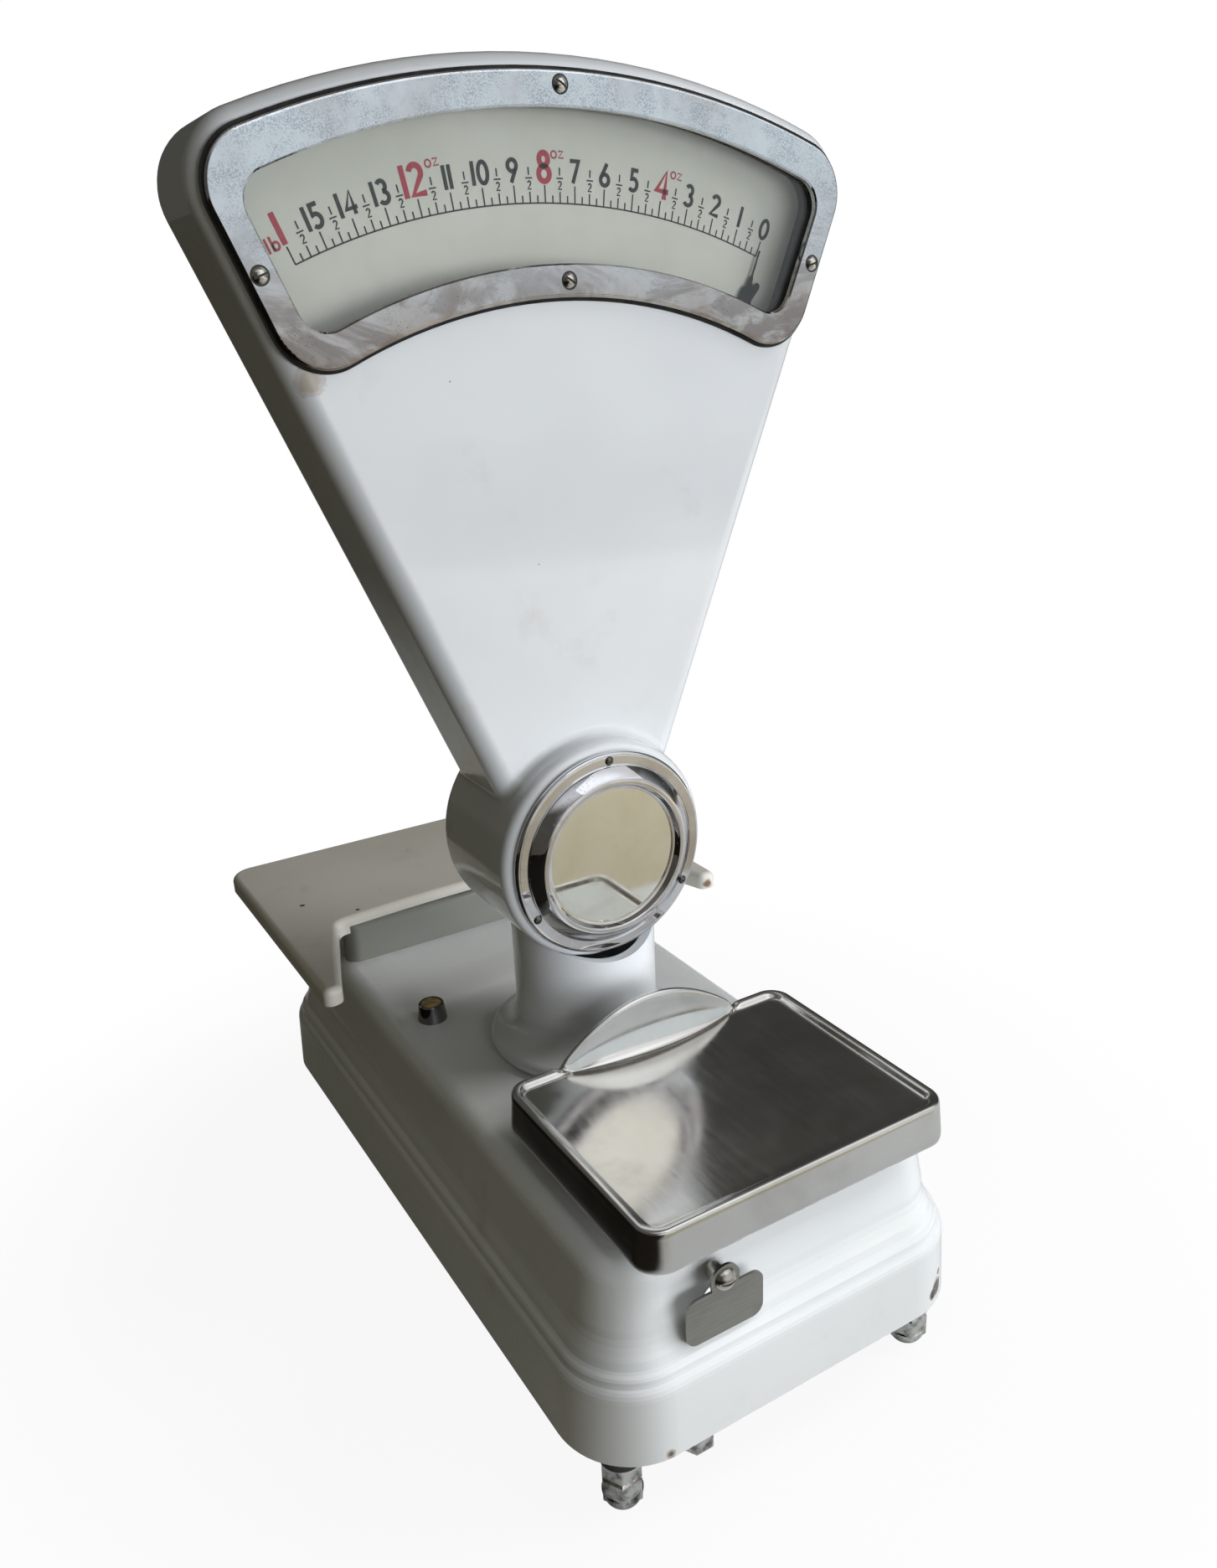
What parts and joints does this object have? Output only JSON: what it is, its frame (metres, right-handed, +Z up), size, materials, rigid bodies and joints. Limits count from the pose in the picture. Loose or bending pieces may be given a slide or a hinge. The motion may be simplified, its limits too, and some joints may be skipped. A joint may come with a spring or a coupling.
{
  "type": "counter scale",
  "caption": "Enamelled counter fan scale with a sector chart behind glass, a weights pan in front, a winged goods plate behind, and levelling feet.",
  "frame": {"origin": "on the ground at the centre of the overall box", "axes": "+X to the user's right, +Y to the rear (goods plate), +Z up; the chart faces -Y"},
  "size_m": [0.3602, 0.504, 0.698],
  "materials": {
    "white_enamel": "gloss stove enamel",
    "plated": "polished plating, worn",
    "stainless": "polished sheet",
    "steel": "machined",
    "cover_grey": "satin",
    "cast_grey": "painted casting",
    "brass": "turned",
    "glass": "clear",
    "amber": "clear amber",
    "rubber": "matt",
    "chart": "matt printed face",
    "pointer": "satin",
    "mirror": "glossy"
  },
  "bodies": {
    "stand": {"base_casing": "white_enamel", "bearing_bridges": "cast_grey", "bezel_screws": "plated", "chart_front": "chart", "chart_rear": "chart", "chart_spacers": "steel", "column": "white_enamel", "cover_screw": "plated", "cover_spacer": "steel", "dashpot_bracket": "steel", "dashpot_cylinder": "brass", "drum_mirror": "mirror", "drum_rear_disc": "mirror", "drum_ring_front": "plated", "drum_ring_rear": "plated", "foot_locknuts": "plated", "frame_bolt": "steel", "frame_cross_bars": "cast_grey", "frame_side_rails": "cast_grey", "front_bezel": "plated", "front_gasket": "rubber", "front_glass": "glass", "fulcrum_bearings": "steel", "fulcrum_stand": "cast_grey", "head_front_shell": "white_enamel", "head_rear_cover": "white_enamel", "level_case": "plated", "level_vial": "amber", "rear_bezel": "plated", "rear_gasket": "rubber", "rear_glass": "glass", "rear_shroud": "white_enamel", "ring_screws": "plated", "shaft_bearings": "steel"},
    "beam": {"main_beam": "cast_grey", "beam_knives": "steel", "rod_pin": "steel", "balance_weight": "brass", "dashpot_arm": "cast_grey"},
    "check_beam": {"check_beam": "cast_grey"},
    "goods": {"goods_carrier": "cast_grey", "goods_bearing": "steel", "goods_pads": "rubber", "goods_plate": "white_enamel"},
    "weights": {"weights_carrier": "cast_grey", "weights_bearing": "steel", "weights_studs": "rubber", "weights_pan": "stainless"},
    "pendulum": {"pendulum_shaft": "steel", "pendulum_weight": "brass", "pointer_front": "pointer", "pointer_rear": "pointer"},
    "pointer_rod": {"pointer_rod": "steel"},
    "dashpot_piston": {"dashpot_piston": "steel"},
    "adjuster_cover": {"adjuster_cover": "cover_grey"},
    "foot_front_left": {"foot_front_left": "plated"},
    "foot_front_right": {"foot_front_right": "plated"},
    "foot_rear_left": {"foot_rear_left": "plated"},
    "foot_rear_right": {"foot_rear_right": "plated"}
  },
  "joints": [
    {"name": "beam_swing", "type": "hinge", "parent": "stand", "child": "beam", "pos_m": [0, 0, 0.128], "axis": [-1, 0, 0], "range_deg": [0, 2.5], "stiffness_Nm_per_rad": 18, "springref_deg": -0.69},
    {"name": "check_beam_swing", "type": "hinge", "parent": "stand", "child": "check_beam", "pos_m": [0, 0, 0.074], "axis": [-1, 0, 0], "range_deg": [-0.05, 2.55]},
    {"name": "goods_travel", "type": "slide", "parent": "stand", "child": "goods", "axis": [0, 0, -1], "range_m": [-0.0001, 0.0079]},
    {"name": "weights_travel", "type": "slide", "parent": "stand", "child": "weights", "axis": [0, 0, 1], "range_m": [-0.0001, 0.0079]},
    {"name": "pendulum_swing", "type": "hinge", "parent": "stand", "child": "pendulum", "pos_m": [0, 0, 0.288], "axis": [0, -1, 0], "range_deg": [-0.5, 45.7]},
    {"name": "pointer_rod_lift", "type": "slide", "parent": "stand", "child": "pointer_rod", "axis": [0, 0, 1], "range_m": [-0.0001, 0.0028]},
    {"name": "dashpot_stroke", "type": "slide", "parent": "stand", "child": "dashpot_piston", "axis": [0, 0, -1], "range_m": [-0.0001, 0.0051]},
    {"name": "cover_swing", "type": "hinge", "parent": "stand", "child": "adjuster_cover", "pos_m": [-0.047, -0.2435, 0.1345], "axis": [0, -1, 0], "range_deg": [-90, 90]},
    {"name": "foot_front_left_screw", "type": "slide", "parent": "stand", "child": "foot_front_left", "axis": [0, 0, -1], "range_m": [0, 0.012]},
    {"name": "foot_front_right_screw", "type": "slide", "parent": "stand", "child": "foot_front_right", "axis": [0, 0, -1], "range_m": [0, 0.012]},
    {"name": "foot_rear_left_screw", "type": "slide", "parent": "stand", "child": "foot_rear_left", "axis": [0, 0, -1], "range_m": [0, 0.012]},
    {"name": "foot_rear_right_screw", "type": "slide", "parent": "stand", "child": "foot_rear_right", "axis": [0, 0, -1], "range_m": [0, 0.012]}
  ],
  "couplings": [
    {"joint": "check_beam_swing", "follows": "beam_swing", "ratio": 1},
    {"joint": "goods_travel", "follows": "beam_swing", "m_per_rad": 0.177},
    {"joint": "weights_travel", "follows": "beam_swing", "m_per_rad": 0.177},
    {"joint": "pendulum_swing", "follows": "beam_swing", "ratio": 18.08},
    {"joint": "pointer_rod_lift", "follows": "beam_swing", "m_per_rad": 0.06},
    {"joint": "dashpot_stroke", "follows": "beam_swing", "m_per_rad": 0.112}
  ]
}
